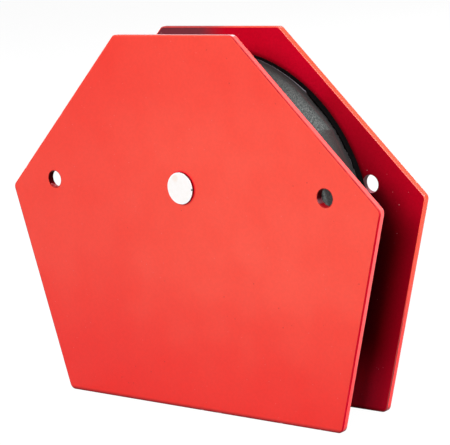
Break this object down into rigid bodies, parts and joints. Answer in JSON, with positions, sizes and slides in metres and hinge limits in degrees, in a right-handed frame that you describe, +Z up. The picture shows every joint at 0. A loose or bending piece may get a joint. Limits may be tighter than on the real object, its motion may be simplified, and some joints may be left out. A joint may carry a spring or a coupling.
{
  "type": "welding magnet holder",
  "caption": "Fixed multi-angle welding magnet: hexagonal red steel plates riveted over a round ferrite ring, with edges for holding work at 30, 45, 60, 75, 90, 105, 120 or 135 degrees.",
  "frame": {"origin": "under the centre of the holder, level with the bottom working edges that it stands on", "axes": "+X along the plates' width, to the right seen from the front plate; +Y from the front plate to the back plate; +Z up"},
  "size_m": [0.129, 0.0242, 0.104],
  "materials": {
    "red_paint": "gloss powder coat on steel plate",
    "ferrite": "matte, as pressed and fired, with small chips on the rims",
    "black_rubber": "matte",
    "rivet_aluminium": "bright, lightly brushed",
    "zinc_plated_steel": "satin zinc plate"
  },
  "bodies": {
    "root": {"front_plate": "red_paint", "back_plate": "red_paint", "ring_magnet": "ferrite", "backing_ring": "black_rubber", "rivet": "rivet_aluminium", "spacer_sleeve": "zinc_plated_steel"}
  },
  "joints": []
}
